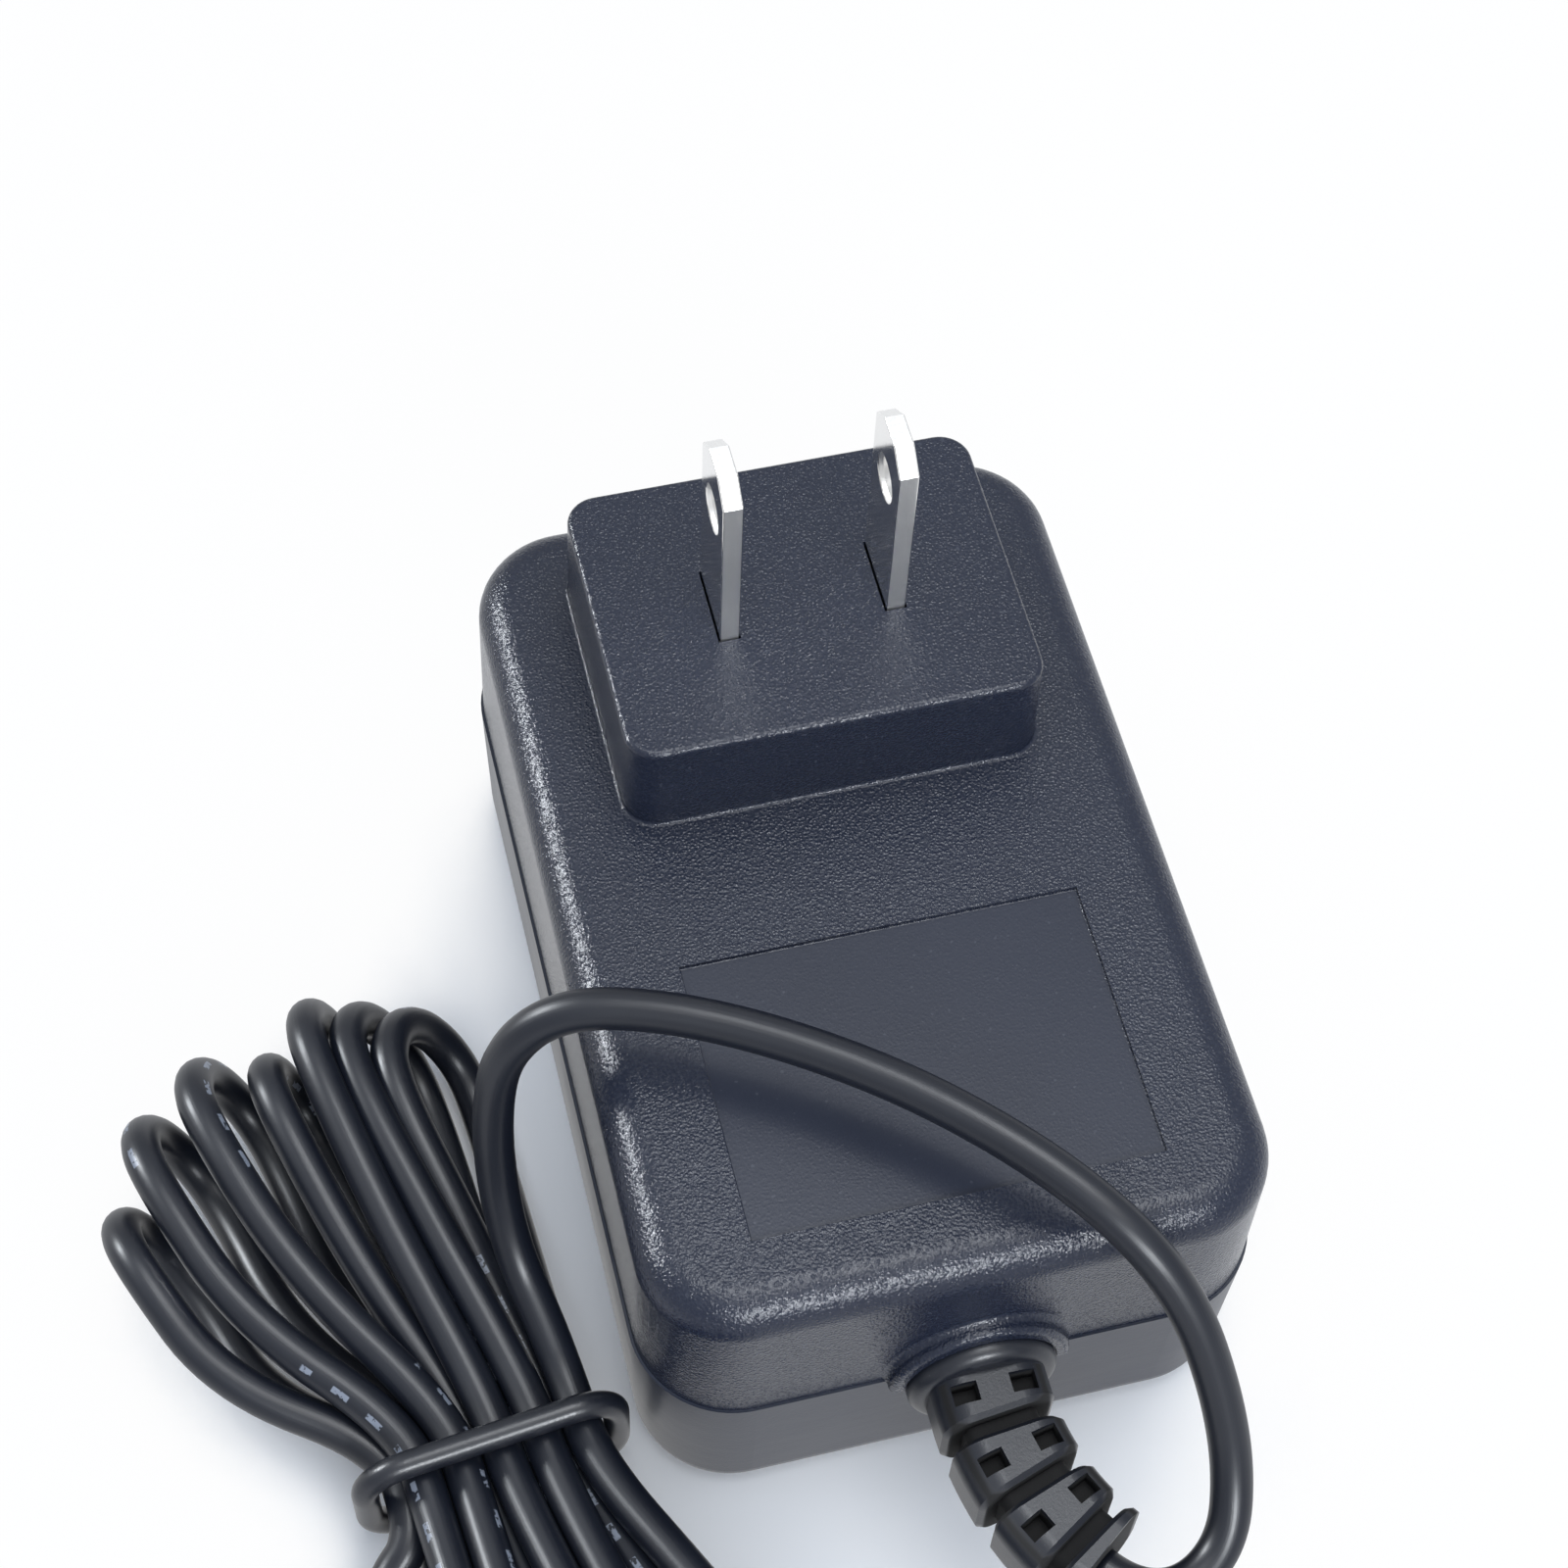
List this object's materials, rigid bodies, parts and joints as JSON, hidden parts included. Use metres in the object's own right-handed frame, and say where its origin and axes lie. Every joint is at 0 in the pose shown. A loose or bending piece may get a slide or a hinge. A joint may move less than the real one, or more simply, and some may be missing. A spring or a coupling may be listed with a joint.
{
  "type": "battery charger",
  "caption": "Plug-in battery charger: a two-shell housing with flat mains blades on a raised boss, a bent grooved strain relief and a thin round lead tied in a hank.",
  "frame": {"origin": "middle of the housing's flat back, on which it lies", "axes": "+X across the housing, to the right seen from the lead's end; +Y along it, from the lead's end to the blades' end; +Z out of the face that carries the blades, along the blades"},
  "size_m": [0.0843, 0.119, 0.057],
  "materials": {
    "cover_plastic": "pebbled black moulding",
    "base_plastic": "smooth satin black moulding",
    "blade_nickel": "satin nickel plate over brass",
    "retainer_plastic": "natural nylon",
    "relief_rubber": "satin black soft moulding",
    "lead_jacket": "smooth satin black jacket",
    "tie_jacket": "black coated wire",
    "plug_rubber": "satin black soft moulding",
    "plug_nickel": "bright nickel plate",
    "plug_insulator": "black plastic",
    "board_laminate": "tan laminate",
    "sheet_film": "dark insulating film",
    "box_capacitor": "yellow plastic box",
    "mould_black": "black epoxy moulding",
    "mould_white": "white epoxy moulding",
    "fuse_case": "brown plastic can",
    "can_sleeve_dark": "dark blue shrink sleeve",
    "can_sleeve_green": "green shrink sleeve",
    "disc_coat_green": "green dipped coat",
    "disc_coat_blue": "blue dipped coat",
    "choke_coat": "painted ferrite ring",
    "enamelled_wire": "enamelled copper wire",
    "ferrite": "dull grey ferrite",
    "bobbin_plastic": "black phenolic moulding",
    "winding_tape": "yellow tape over the winding",
    "sink_aluminium": "bent sheet",
    "wire_brown": "brown wire jacket",
    "wire_red": "red wire jacket",
    "wire_black": "black wire jacket"
  },
  "bodies": {
    "root": {"upper_shell": "cover_plastic", "lower_shell": "base_plastic", "blade_left": "blade_nickel", "blade_right": "blade_nickel", "blade_retainer": "retainer_plastic", "strain_relief": "relief_rubber", "lead_free": "lead_jacket", "lead_hank": "lead_jacket", "lead_end": "lead_jacket", "hank_tie": "tie_jacket", "plug_grip": "plug_rubber", "plug_sleeve": "plug_nickel", "plug_insulator": "plug_insulator", "plug_contact": "plug_nickel", "circuit_board": "board_laminate", "insulation_sheet": "sheet_film", "filter_capacitor": "box_capacitor", "bridge_rectifier": "mould_black", "control_chip": "mould_black", "optocoupler": "mould_white", "input_fuse": "fuse_case", "bulk_capacitor_a": "can_sleeve_dark", "bulk_capacitor_b": "can_sleeve_dark", "output_capacitor_a": "can_sleeve_green", "output_capacitor_b": "can_sleeve_green", "inrush_thermistor": "disc_coat_green", "safety_capacitor": "disc_coat_blue", "choke_core": "choke_coat", "choke_winding_a": "enamelled_wire", "choke_winding_b": "enamelled_wire", "transformer_core_front": "ferrite", "transformer_core_rear": "ferrite", "transformer_bobbin": "bobbin_plastic", "transformer_winding": "winding_tape", "primary_heat_sink": "sink_aluminium", "switching_transistor": "mould_black", "secondary_heat_sink": "sink_aluminium", "output_rectifier": "mould_black", "output_choke": "ferrite", "input_wire_left": "wire_brown", "input_wire_right": "wire_brown", "output_wire_left": "wire_red", "output_wire_right": "wire_black"}
  },
  "joints": []
}
